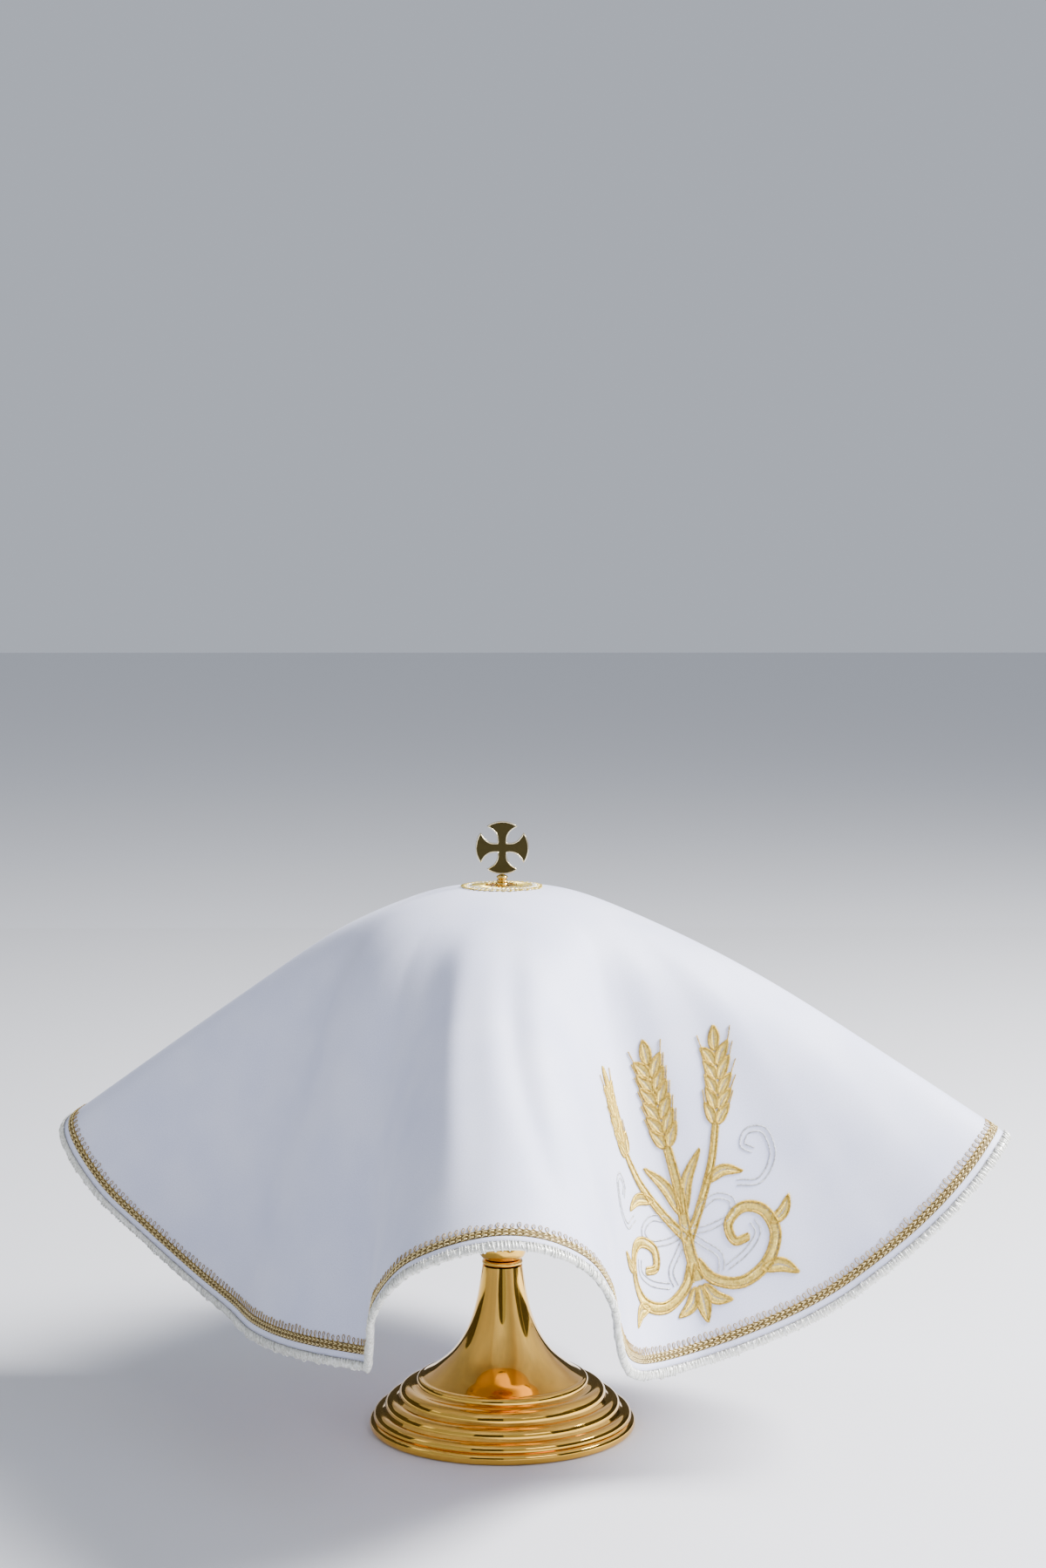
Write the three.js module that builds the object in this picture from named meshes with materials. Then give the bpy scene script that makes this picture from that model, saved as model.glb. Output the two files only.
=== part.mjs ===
// A round satin veil draped over a gold ciborium. Millimetres, +Z up.
// The origin is the middle of the foot's underside, and the veil's front faces -Y.
import * as THREE from 'three';

// Driving sizes of the veil, measured on the cloth laid out flat.
const VEIL_RADIUS = 262;
const HOLE_RADIUS = 13;
const CLOTH_THICKNESS = 1.5;
const EDGING_WIDTH = 3.8;
const EDGING_THICKNESS = 2.2;
const EDGING_CREST = 0.45;
const EDGING_ROOT = 0.6;
const BRAID_WIDTH = 3.8;
const BRAID_INSET = 7;
const BRAID_THICKNESS = 1;
const HOLE_BRAID_RADIUS = 18.8;

// Clearances: between rigid pieces, between sewn ones, and from the lid to the cloth.
const GAP = 0.3;
const SEWN_GAP = 0.4;
const LID_CLEARANCE = 0.6;

// Where the draped cloth lies: the height of its middle layer at the hole.
const VEIL_TOP = 254.5;

// Shape of one thread from the hole to the hem. It follows the lid's dome up to
// BEND_START and has reached its own slope at the radius that the hem table gives.
const DOME_SLOPE = 21;
const DOME_START = 6;
const DOME_END = 50;
const BEND_START = 40;
const TWIST_START = 45;
const LID_TURN = -1.3;

// The hem seen from above. azimuth is in degrees from the front, counted to the right,
// reach is the hem's distance from the axis, and bend is how far from the middle of the
// flat cloth the thread has taken its full slope.
const HEM = [
  { fold: 'front crest', azimuth: 0, reach: 232, bend: 122 },
  { fold: 'right shoulder', azimuth: 5, reach: 230, bend: 120 },
  { fold: 'right shoulder', azimuth: 9.2, reach: 223, bend: 116 },
  { fold: 'right corner', azimuth: 12.3, reach: 209, bend: 110 },
  { fold: 'right corner', azimuth: 14.5, reach: 189, bend: 104 },
  { fold: 'right flank', azimuth: 18, reach: 164, bend: 98 },
  { fold: 'right flank', azimuth: 23, reach: 142, bend: 94 },
  { fold: 'right valley', azimuth: 31, reach: 125, bend: 92 },
  { fold: 'right panel', azimuth: 43, reach: 124, bend: 98 },
  { fold: 'right panel', azimuth: 53, reach: 142, bend: 110 },
  { fold: 'right panel', azimuth: 61, reach: 168, bend: 125 },
  { fold: 'right panel', azimuth: 66, reach: 194, bend: 165 },
  { fold: 'right panel', azimuth: 71, reach: 219, bend: 185 },
  { fold: 'right crest', azimuth: 76.5, reach: 233, bend: 180 },
  { fold: 'right crest', azimuth: 84, reach: 230, bend: 162 },
  { fold: 'back right panel', azimuth: 92, reach: 208, bend: 130 },
  { fold: 'back right panel', azimuth: 102, reach: 175, bend: 110 },
  { fold: 'back right panel', azimuth: 115, reach: 143, bend: 100 },
  { fold: 'back right valley', azimuth: 132, reach: 119, bend: 96 },
  { fold: 'back lobe', azimuth: 147, reach: 145, bend: 100 },
  { fold: 'back lobe', azimuth: 157, reach: 182, bend: 110 },
  { fold: 'back lobe', azimuth: 165, reach: 211, bend: 120 },
  { fold: 'back crest', azimuth: 177, reach: 227, bend: 125 },
  { fold: 'back lobe', azimuth: 189, reach: 211, bend: 120 },
  { fold: 'back lobe', azimuth: 198, reach: 179, bend: 110 },
  { fold: 'back lobe', azimuth: 207, reach: 145, bend: 100 },
  { fold: 'back left valley', azimuth: 219, reach: 121, bend: 96 },
  { fold: 'back left panel', azimuth: 230, reach: 142, bend: 100 },
  { fold: 'back left panel', azimuth: 237, reach: 175, bend: 106 },
  { fold: 'back left panel', azimuth: 241.5, reach: 204, bend: 110 },
  { fold: 'left crest', azimuth: 248, reach: 224, bend: 112 },
  { fold: 'left crest', azimuth: 255.5, reach: 222, bend: 110 },
  { fold: 'left panel', azimuth: 259, reach: 202, bend: 108 },
  { fold: 'left panel', azimuth: 261, reach: 176, bend: 104 },
  { fold: 'left panel', azimuth: 266, reach: 151, bend: 100 },
  { fold: 'left panel', azimuth: 277, reach: 129, bend: 104 },
  { fold: 'left panel', azimuth: 295, reach: 125, bend: 116 },
  { fold: 'left valley', azimuth: 311, reach: 127, bend: 124 },
  { fold: 'left valley', azimuth: 324, reach: 130, bend: 126 },
  { fold: 'left valley', azimuth: 333, reach: 132, bend: 122 },
  { fold: 'left flank', azimuth: 337, reach: 146, bend: 114 },
  { fold: 'left flank', azimuth: 340.2, reach: 165, bend: 110 },
  { fold: 'left corner', azimuth: 342.8, reach: 184, bend: 108 },
  { fold: 'left corner', azimuth: 345.2, reach: 204, bend: 108 },
  { fold: 'left shoulder', azimuth: 349.5, reach: 221, bend: 114 },
  { fold: 'left shoulder', azimuth: 355, reach: 229, bend: 120 },
];

// Fineness of the cloth: columns run from the hole to the hem, rings run round it.
const HEM_SAMPLES = 24;
const COLUMNS = 108;
const FINE = 4;
const THREAD_STEP = 1;
const CLOTH_RINGS = [24, 35, 45, 54, 63, 73, 84, 97, 113, 134, 162, 196, 228];

// Driving sizes of the ciborium, from the foot up.
const FOOT_RADIUS = 62.5;
const FOOT_BEAD = 5;
const FOOT_STEPS = [
  { radius: 60.6, height: 5.6, rise: 3.6, run: 4.4 },
  { radius: 55.2, height: 10.2, rise: 4.4, run: 5.4 },
  { radius: 48.6, height: 15.6, rise: 5, run: 6.4 },
  { radius: 40.4, height: 21.6, rise: 2.8, run: 2.2 },
];
const TRUMPET = [
  { radius: 31.5, height: 28.6 },
  { radius: 23.2, height: 36 },
  { radius: 16.6, height: 46.5 },
  { radius: 12.2, height: 60 },
  { radius: 9.4, height: 77 },
];
const COLLAR_RADIUS = 9.6;
const COLLAR_HEIGHT = 2.6;
const KNOP_RADIUS = 11.3;
const KNOP_HEIGHT = 10;
const JOINT_RADIUS = 8;
const CUP_RADIUS = 60;
const CUP_WALL = 2;
const CUP_TOP = 205;
const CUP_STEM = { bottomRadius: 9, topRadius: 10, height: 4 };
const BOWL_HEIGHT = 62;
const BOWL_FLOOR = 7;
const BOWL_CURVE = { belly: 0.63, outer: 0.55, inner: 0.52 };
const LID_RADIUS = 60;
const LID_WALL = 2;
const LID_BODY_TOP = 216;
const LID_KNEE = { radius: 48, height: 240 };
const LID_RIM = { radius: 62.5, height: 3.4, slope: 1.6 };
const LID_DOME_RADIUS = 42;
const LID_DOME_STEP = 6;
const LID_CURVE = { dome: 0.7, innerKnee: 6, innerBrim: 1, outerShoulder: 7, outerKnee: 6 };
const FINIAL_BEADS = [
  { bulge: 4.4, neck: 2.4, height: 2.4 },
  { bulge: 3.4, neck: 2, height: 4 },
  { bulge: 3, neck: 1.6, height: 5.2 },
  { bulge: 3.4, neck: 1.2, height: 7.4 },
];
const FINIAL_FOOT_RADIUS = 4.4;
const CROSS_RADIUS = 12.2;
const CROSS_THICKNESS = 1.6;
const CROSS_HEART = 2;
const CROSS_WAIST = 7.6;
const CROSS_WAIST_ANGLE = 8;
const CROSS_FLARE_ANGLE = 34;

// How finely round pieces are divided.
const LATHE_STEPS = 32;
const SMALL_LATHE_STEPS = 24;
const FINIAL_LATHE_STEPS = 20;

const GOLD = new THREE.MeshStandardMaterial({ color: 0xc99a4a, roughness: 0.12, metalness: 1 });
const SATIN = new THREE.MeshStandardMaterial({ color: 0xe6e6f2, roughness: 0.5, metalness: 0 });
const LUREX = new THREE.MeshStandardMaterial({ color: 0xe9e4d2, roughness: 0.45, metalness: 0.3 });
const GOLD_THREAD = new THREE.MeshStandardMaterial({ color: 0xc9a352, roughness: 0.4, metalness: 0.6 });

const LID_TOP = VEIL_TOP - CLOTH_THICKNESS / 2 - LID_CLEARANCE;
const radians = THREE.MathUtils.degToRad;
const smooth = (t) => THREE.MathUtils.smoothstep(t, 0, 1);

// How much of a thread's sideways travel is done at a radius of the flat cloth.
const TWIST_RATE = 1 / (VEIL_RADIUS - TWIST_START);
const twistShare = (r) => Math.max(0, (r - TWIST_START) * TWIST_RATE);

// Steps along one thread of the cloth and returns its distance from the axis and its
// drop at each step. What it spends on sideways travel is taken from its length.
function thread(slope, bend, twist) {
  const rho = [0];
  const drop = [0];
  for (let r = THREAD_STEP; r <= VEIL_RADIUS; r += THREAD_STEP) {
    const middle = r - THREAD_STEP / 2;
    const dome = DOME_SLOPE * smooth((middle - DOME_START) / (DOME_END - DOME_START));
    const bent = smooth((middle - BEND_START) / (bend - BEND_START));
    const angle = radians(dome + (slope - dome) * bent);
    const last = rho[rho.length - 1];
    const sideways = middle > TWIST_START ? last * twist * TWIST_RATE : 0;
    const forward = Math.sqrt(1 - Math.min(0.9, sideways * sideways)) * THREAD_STEP;
    rho.push(last + forward * Math.cos(angle));
    drop.push(drop[drop.length - 1] + forward * Math.sin(angle));
  }
  return { rho, drop };
}

// Finds the slope at which a thread's end comes to the reach that the table gives.
function settle(reach, bend, twist) {
  let low = 5;
  let high = 100;
  for (let k = 0; k < 20; k += 1) {
    const middle = (low + high) / 2;
    const tooFar = thread(middle, bend, twist).rho.at(-1) > reach;
    if (tooFar) low = middle;
    else high = middle;
  }
  return thread((low + high) / 2, bend, twist);
}

// The hem as a closed curve through the table: x, y and the bend radius.
function hemPlan() {
  const points = HEM.map(({ azimuth, reach, bend }) => {
    const angle = radians(azimuth);
    return new THREE.Vector3(reach * Math.sin(angle), -reach * Math.cos(angle), bend);
  });
  return new THREE.CatmullRomCurve3(points, true, 'centripetal');
}

// Walks the hem and gives each place on it an angle of the flat cloth by the length
// walked. Returns evenly spaced threads, each with its shape and its twist.
function drapedColumns(count) {
  const plan = hemPlan();
  const total = HEM.length * HEM_SAMPLES;
  const walk = [];
  let length = 0;
  let azimuth = 0;
  for (let k = 0; k <= total; k += 1) {
    const p = plan.getPoint((k % total) / total);
    const reach = Math.hypot(p.x, p.y);
    const height = VEIL_TOP - settle(reach, p.z, 0).drop.at(-1);
    const place = new THREE.Vector3(p.x, p.y, height);
    const angle = Math.atan2(p.x, -p.y);
    if (k > 0) {
      length += place.distanceTo(walk[k - 1].place);
      azimuth += Math.atan2(Math.sin(angle - azimuth), Math.cos(angle - azimuth));
    }
    walk.push({ place, bend: p.z, azimuth, length });
  }
  const columns = [];
  let k = 0;
  for (let i = 0; i < count; i += 1) {
    const want = (i / count) * length;
    while (walk[k + 1].length < want) k += 1;
    const a = walk[k];
    const b = walk[k + 1];
    const t = (want - a.length) / (b.length - a.length);
    const x = THREE.MathUtils.lerp(a.place.x, b.place.x, t);
    const y = THREE.MathUtils.lerp(a.place.y, b.place.y, t);
    const lidAzimuth = (i / count) * 2 * Math.PI + radians(LID_TURN);
    const twist = THREE.MathUtils.lerp(a.azimuth, b.azimuth, t) - lidAzimuth;
    const bend = THREE.MathUtils.lerp(a.bend, b.bend, t);
    columns.push({ lidAzimuth, twist, ...settle(Math.hypot(x, y), bend, twist) });
  }
  return columns;
}

const fineColumns = drapedColumns(COLUMNS * FINE);

// The middle layer of the cloth at a fine column and a radius of the flat cloth.
function clothPoint(index, r) {
  const column = fineColumns[(index + fineColumns.length) % fineColumns.length];
  const step = Math.min(Math.floor(r / THREAD_STEP), column.rho.length - 2);
  const t = r / THREAD_STEP - step;
  const rho = column.rho[step] * (1 - t) + column.rho[step + 1] * t;
  const drop = column.drop[step] * (1 - t) + column.drop[step + 1] * t;
  const azimuth = column.lidAzimuth + column.twist * twistShare(r);
  return new THREE.Vector3(rho * Math.sin(azimuth), -rho * Math.cos(azimuth), VEIL_TOP - drop);
}

// The same place moved out of the cloth by height along its outward normal.
function raisedPoint(index, r, height) {
  const along = clothPoint(index, r + 1).sub(clothPoint(index, r - 1));
  const around = clothPoint(index + 1, r).sub(clothPoint(index - 1, r));
  const normal = along.cross(around).normalize();
  return clothPoint(index, r).addScaledVector(normal, height);
}

// A closed band of the cloth: a loop of (radius, height) places carried round the veil.
function clothRing(loop, everyColumn = 1) {
  const positions = [];
  const count = COLUMNS / everyColumn;
  for (let i = 0; i < count; i += 1) {
    for (const [r, height] of loop) {
      positions.push(...raisedPoint(i * everyColumn * FINE, r, height).toArray());
    }
  }
  const indices = [];
  for (let i = 0; i < count; i += 1) {
    const next = (i + 1) % count;
    for (let j = 0; j < loop.length; j += 1) {
      const k = (j + 1) % loop.length;
      const a = i * loop.length + j;
      const b = next * loop.length + j;
      const c = next * loop.length + k;
      const d = i * loop.length + k;
      indices.push(a, c, b, a, d, c);
    }
  }
  const geometry = new THREE.BufferGeometry();
  geometry.setAttribute('position', new THREE.Float32BufferAttribute(positions, 3));
  geometry.setIndex(indices);
  geometry.computeVertexNormals();
  return geometry;
}

// The satin cloth with its hem, from the hole to just inside the edging.
function veilCloth() {
  const edge = VEIL_RADIUS - EDGING_WIDTH - SEWN_GAP;
  const braidOuter = VEIL_RADIUS - BRAID_INSET;
  const rings = [HOLE_RADIUS, ...CLOTH_RINGS, braidOuter - BRAID_WIDTH, braidOuter, edge];
  const outside = rings.map((r) => [r, CLOTH_THICKNESS / 2]);
  const inside = rings.map((r) => [r, -CLOTH_THICKNESS / 2]).reverse();
  return clothRing([...outside, ...inside]);
}

// The overlocked edging, a flat rounded cord along the hem.
function hemEdging() {
  const inner = VEIL_RADIUS - EDGING_WIDTH;
  const crest = inner + EDGING_WIDTH * EDGING_CREST;
  const half = EDGING_THICKNESS / 2;
  return clothRing([
    [inner, half * EDGING_ROOT],
    [crest, half],
    [VEIL_RADIUS, 0],
    [crest, -half],
    [inner, -half * EDGING_ROOT],
  ]);
}

// A flat braid stitched on the outer face between two radii.
function flatBraid(inner, outer, everyColumn) {
  const bottom = CLOTH_THICKNESS / 2 + SEWN_GAP;
  const top = bottom + BRAID_THICKNESS;
  const loop = [[inner, bottom], [inner, top], [outer, top], [outer, bottom]];
  return clothRing(loop, everyColumn);
}

// A turned piece from its half outline of (radius, height) points.
function turned(points, steps) {
  const geometry = new THREE.LatheGeometry(points, steps);
  geometry.rotateX(Math.PI / 2);
  return geometry;
}

// Half outline of the stepped foot and the trumpet that rises from it to the neck.
function footOutline() {
  const bead = FOOT_BEAD / 2;
  const outline = new THREE.Path();
  outline.moveTo(0, 0);
  outline.lineTo(FOOT_RADIUS - bead + bead * Math.cos(Math.PI / 3), 0);
  outline.absarc(FOOT_RADIUS - bead, bead, bead, -Math.PI / 3, Math.PI / 2);
  for (const { radius, height, rise, run } of FOOT_STEPS) {
    outline.lineTo(radius, height);
    outline.quadraticCurveTo(radius, height + rise, radius - run, height + rise);
  }
  outline.splineThru(TRUMPET.map(({ radius, height }) => new THREE.Vector2(radius, height)));
  outline.lineTo(0, TRUMPET.at(-1).height);
  return outline.getPoints(3);
}

// Half outline of a round moulding, flat at both ends.
function beadOutline(radius, bottom, height) {
  const pull = radius + (radius - JOINT_RADIUS) / 3;
  const outline = new THREE.Path();
  outline.moveTo(0, bottom);
  outline.lineTo(JOINT_RADIUS, bottom);
  outline.bezierCurveTo(pull, bottom, pull, bottom + height, JOINT_RADIUS, bottom + height);
  outline.lineTo(0, bottom + height);
  return outline.getPoints(6);
}

// Half outline of the cup: a short stem ring, a round bowl and an upright wall.
function cupOutline(bottom) {
  const { bottomRadius, topRadius, height } = CUP_STEM;
  const inside = CUP_RADIUS - CUP_WALL;
  const shoulder = bottom + BOWL_HEIGHT;
  const belly = CUP_RADIUS * BOWL_CURVE.belly;
  const outline = new THREE.Path();
  outline.moveTo(0, bottom);
  outline.lineTo(bottomRadius, bottom);
  outline.lineTo(topRadius, bottom + height);
  outline.bezierCurveTo(
    belly, bottom + height + CUP_WALL,
    CUP_RADIUS, shoulder - BOWL_HEIGHT * BOWL_CURVE.outer,
    CUP_RADIUS, shoulder,
  );
  outline.lineTo(CUP_RADIUS, CUP_TOP);
  outline.lineTo(inside, CUP_TOP);
  outline.lineTo(inside, shoulder);
  outline.bezierCurveTo(
    inside, shoulder - BOWL_HEIGHT * BOWL_CURVE.inner,
    belly, bottom + BOWL_FLOOR + CUP_WALL,
    0, bottom + BOWL_FLOOR,
  );
  return outline.getPoints(7);
}

// Half outline of the lid. Its dome lies just under the cloth, and its shoulder
// turns down before the cloth's steepest fold does.
function lidOutline() {
  const bottom = CUP_TOP + GAP;
  const inside = LID_RADIUS - LID_WALL;
  const insideTop = LID_TOP - LID_WALL;
  const drop = thread(DOME_SLOPE, DOME_END, 0);
  const dome = [];
  for (let r = 0; r <= LID_DOME_RADIUS; r += LID_DOME_STEP) {
    dome.push(new THREE.Vector2(drop.rho[r], LID_TOP - drop.drop[r]));
  }
  const edge = dome.at(-1);
  const wall = new THREE.Path();
  wall.moveTo(0, insideTop);
  wall.quadraticCurveTo(
    LID_KNEE.radius * LID_CURVE.dome, insideTop,
    LID_KNEE.radius, LID_KNEE.height,
  );
  wall.quadraticCurveTo(
    inside - LID_CURVE.innerBrim, LID_KNEE.height - LID_CURVE.innerKnee,
    inside, LID_BODY_TOP - LID_CURVE.innerBrim,
  );
  wall.lineTo(inside, bottom);
  wall.lineTo(LID_RIM.radius, bottom);
  wall.lineTo(LID_RIM.radius, bottom + LID_RIM.height);
  wall.lineTo(LID_RADIUS, bottom + LID_RIM.height + LID_RIM.slope);
  wall.lineTo(LID_RADIUS, LID_BODY_TOP);
  wall.bezierCurveTo(
    LID_RADIUS, LID_KNEE.height - LID_CURVE.outerShoulder,
    LID_KNEE.radius + LID_CURVE.outerKnee, LID_KNEE.height,
    edge.x, edge.y,
  );
  return [...wall.getPoints(4), ...dome.reverse().slice(1)];
}

// Half outline of the finial's turned shaft, whose beads stand in the veil's hole.
function finialOutline() {
  const bottom = LID_TOP + GAP;
  const outline = new THREE.Path();
  outline.moveTo(0, bottom);
  outline.lineTo(FINIAL_FOOT_RADIUS, bottom);
  let below = 0;
  for (const { bulge, neck, height } of FINIAL_BEADS) {
    outline.quadraticCurveTo(bulge, bottom + (below + height) / 2, neck, bottom + height);
    below = height;
  }
  outline.lineTo(0, bottom + below);
  return outline.getPoints(3);
}

// The flat cross: four flared arms inside one circle, with a small square heart.
function crossShape() {
  const corner = CROSS_HEART * Math.SQRT2;
  const flare = radians(CROSS_FLARE_ANGLE);
  const waist = radians(CROSS_WAIST_ANGLE);
  const shape = new THREE.Shape();
  for (let arm = 0; arm < 4; arm += 1) {
    const turn = (arm * Math.PI) / 2;
    const at = (radius, angle) => [radius * Math.cos(turn + angle), radius * Math.sin(turn + angle)];
    if (arm === 0) shape.moveTo(...at(corner, -Math.PI / 4));
    shape.quadraticCurveTo(...at(CROSS_WAIST, -waist), ...at(CROSS_RADIUS, -flare));
    shape.absarc(0, 0, CROSS_RADIUS, turn - flare, turn + flare, false);
    shape.quadraticCurveTo(...at(CROSS_WAIST, waist), ...at(corner, Math.PI / 4));
  }
  return shape;
}

function crossPlate() {
  const geometry = new THREE.ExtrudeGeometry(crossShape(), {
    depth: CROSS_THICKNESS,
    bevelEnabled: false,
    curveSegments: 6,
  });
  geometry.translate(0, 0, -CROSS_THICKNESS / 2);
  geometry.rotateX(Math.PI / 2);
  geometry.translate(0, 0, LID_TOP + GAP + FINIAL_BEADS.at(-1).height + GAP + CROSS_RADIUS);
  return geometry;
}

const group = new THREE.Group();

function add(name, geometry, material) {
  const mesh = new THREE.Mesh(geometry, material);
  mesh.name = name;
  group.add(mesh);
}

const collarBottom = TRUMPET.at(-1).height + GAP;
const knopBottom = collarBottom + COLLAR_HEIGHT + GAP;
const cupBottom = knopBottom + KNOP_HEIGHT + GAP;
const collar = beadOutline(COLLAR_RADIUS, collarBottom, COLLAR_HEIGHT);
const knop = beadOutline(KNOP_RADIUS, knopBottom, KNOP_HEIGHT);
const braidOuter = VEIL_RADIUS - BRAID_INSET;
const hemBraid = flatBraid(braidOuter - BRAID_WIDTH, braidOuter, 1);
const holeBraid = flatBraid(HOLE_RADIUS, HOLE_BRAID_RADIUS, 3);

add('veil_cloth', veilCloth(), SATIN);
add('hem_edging', hemEdging(), LUREX);
add('hem_braid', hemBraid, GOLD_THREAD);
add('hole_braid', holeBraid, GOLD_THREAD);
add('ciborium_foot', turned(footOutline(), LATHE_STEPS), GOLD);
add('ciborium_collar', turned(collar, SMALL_LATHE_STEPS), GOLD);
add('ciborium_knop', turned(knop, SMALL_LATHE_STEPS), GOLD);
add('ciborium_cup', turned(cupOutline(cupBottom), LATHE_STEPS), GOLD);
add('ciborium_lid', turned(lidOutline(), LATHE_STEPS), GOLD);
add('finial_shaft', turned(finialOutline(), FINIAL_LATHE_STEPS), GOLD);
add('finial_cross', crossPlate(), GOLD);

export default group;
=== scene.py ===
"""A round satin veil with a gold braid hem, draped over a gold ciborium.

The functions work in millimetres, +Z up, with the veil's front at -Y, and a piece's points
become metres in new_piece. Places on the cloth are given as turn and radius on the flat disc,
the turn in radians from the front, towards +X, and height above the cloth's middle layer.
"""
import math

import bpy
import numpy as np
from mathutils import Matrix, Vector


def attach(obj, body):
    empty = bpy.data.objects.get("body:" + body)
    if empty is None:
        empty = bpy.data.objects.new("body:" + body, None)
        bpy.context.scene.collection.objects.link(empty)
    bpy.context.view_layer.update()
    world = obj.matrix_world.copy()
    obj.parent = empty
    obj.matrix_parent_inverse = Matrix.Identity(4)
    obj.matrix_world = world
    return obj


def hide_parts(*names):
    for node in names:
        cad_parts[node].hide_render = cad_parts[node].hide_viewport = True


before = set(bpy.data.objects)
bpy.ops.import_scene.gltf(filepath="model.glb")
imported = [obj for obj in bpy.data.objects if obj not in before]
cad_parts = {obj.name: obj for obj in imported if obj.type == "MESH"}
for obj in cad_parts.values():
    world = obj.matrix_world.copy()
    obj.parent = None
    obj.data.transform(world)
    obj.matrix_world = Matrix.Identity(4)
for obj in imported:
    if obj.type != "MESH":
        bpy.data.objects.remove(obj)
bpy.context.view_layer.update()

MM = 0.001
TAU = 2 * math.pi
random = np.random.default_rng(7)

# Sizes of the veil on the flat cloth, the same as in the frame.
VEIL_RADIUS = 262
HOLE_RADIUS = 13
CLOTH_THICKNESS = 1.5
EDGING_WIDTH = 3.8
BRAID_WIDTH = 3.8
BRAID_INSET = 7
HOLE_BRAID_RADIUS = 18.8
VEIL_TOP = 254.5

# Shape of one thread from the hole to the hem: its slope over the lid's dome in degrees, the
# radii where it takes that slope, bends further and turns sideways, and the cloth's turn on
# the lid in degrees.
DOME_SLOPE = 21
DOME_START = 6
DOME_END = 50
BEND_START = 40
TWIST_START = 45
LID_TURN = -1.3
SLOPE_LIMITS = (5.0, 100.0)
SLOPE_HALVINGS = 20
SIDEWAYS_LIMIT = 0.9

# The hem seen from above, fold by fold: azimuth from the front in degrees, reach from the
# axis, and the radius of the flat cloth where the thread has taken its full slope.
HEM_FOLDS = [
    ("front crest", [(0, 232, 122)]),
    ("right shoulder", [(5, 230, 120), (9.2, 223, 116)]),
    ("right corner", [(12.3, 209, 110), (14.5, 189, 104)]),
    ("right flank", [(18, 164, 98), (23, 142, 94)]),
    ("right valley", [(31, 125, 92)]),
    ("right panel", [(43, 124, 98), (53, 142, 110), (61, 168, 125), (66, 194, 165),
                    (71, 219, 185)]),
    ("right crest", [(76.5, 233, 180), (84, 230, 162)]),
    ("back right panel", [(92, 208, 130), (102, 175, 110), (115, 143, 100)]),
    ("back right valley", [(132, 119, 96)]),
    ("back lobe", [(147, 145, 100), (157, 182, 110), (165, 211, 120)]),
    ("back crest", [(177, 227, 125)]),
    ("back lobe", [(189, 211, 120), (198, 179, 110), (207, 145, 100)]),
    ("back left valley", [(219, 121, 96)]),
    ("back left panel", [(230, 142, 100), (237, 175, 106), (241.5, 204, 110)]),
    ("left crest", [(248, 224, 112), (255.5, 222, 110)]),
    ("left panel", [(259, 202, 108), (261, 176, 104), (266, 151, 100), (277, 129, 104),
                   (295, 125, 116)]),
    ("left valley", [(311, 127, 124), (324, 130, 126), (333, 132, 122)]),
    ("left flank", [(337, 146, 114), (340.2, 165, 110)]),
    ("left corner", [(342.8, 184, 108), (345.2, 204, 108)]),
    ("left shoulder", [(349.5, 221, 114), (355, 229, 120)]),
]
HEM_SAMPLES = 24
GRID_COLUMNS = 1728
GRID_OVERHANG = 4

# Soft troughs (depth below zero) and ridges on the cloth, from an inner to an outer radius.
# turn is where one starts on the flat cloth in degrees, and drift is how far it has turned
# where it ends. Each wanders a little to both sides on its way.
CREASE_COLUMNS = ("turn", "drift", "inner", "outer", "width", "depth")
CREASES = [
    (350, 5, 64, 262, 9, 2.7),
    (3, 3, 60, 250, 8, -3.3),
    (337, 5, 64, 160, 10, -1.5),
    (65, 3, 125, 262, 22, -1.6),
    (300, -5, 90, 250, 16, 1.0),
    (282, 4, 100, 262, 14, -1.1),
    (120, 4, 80, 262, 15, -1.2),
    (207, -4, 80, 262, 14, 1.1),
    (160, -5, 70, 262, 12, -1.2),
    (184, 3, 75, 262, 10, 1.6),
    (240, 3, 90, 262, 15, 0.9),
]
WANDER = 2.5
WANDER_LENGTH = 31
FADE_START = 1.15


def smooth(t):
    """A soft step from 0 to 1."""
    t = np.clip(t, 0, 1)
    return t * t * (3 - 2 * t)


def threads(slope, bend, twist):
    """Steps along every thread; what it spends on sideways travel is taken from its length."""
    rho = np.zeros((len(slope), VEIL_RADIUS + 1))
    drop = np.zeros_like(rho)
    rate = 1 / (VEIL_RADIUS - TWIST_START)
    for k in range(VEIL_RADIUS):
        middle = k + 0.5
        dome = DOME_SLOPE * smooth((middle - DOME_START) / (DOME_END - DOME_START))
        bent = smooth((middle - BEND_START) / (bend - BEND_START))
        angle = np.radians(dome + (slope - dome) * bent)
        sideways = rho[:, k] * twist * rate if middle > TWIST_START else 0 * twist
        forward = np.sqrt(1 - np.minimum(SIDEWAYS_LIMIT, sideways ** 2))
        rho[:, k + 1] = rho[:, k] + forward * np.cos(angle)
        drop[:, k + 1] = drop[:, k] + forward * np.sin(angle)
    return rho, drop


def settle(reach, bend, twist):
    """Finds the slopes at which the threads' ends come to their reach."""
    low = np.full(len(reach), SLOPE_LIMITS[0])
    high = np.full(len(reach), SLOPE_LIMITS[1])
    for _ in range(SLOPE_HALVINGS):
        middle = (low + high) / 2
        too_far = threads(middle, bend, twist)[0][:, -1] > reach
        low = np.where(too_far, middle, low)
        high = np.where(too_far, high, middle)
    return threads((low + high) / 2, bend, twist)


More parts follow.
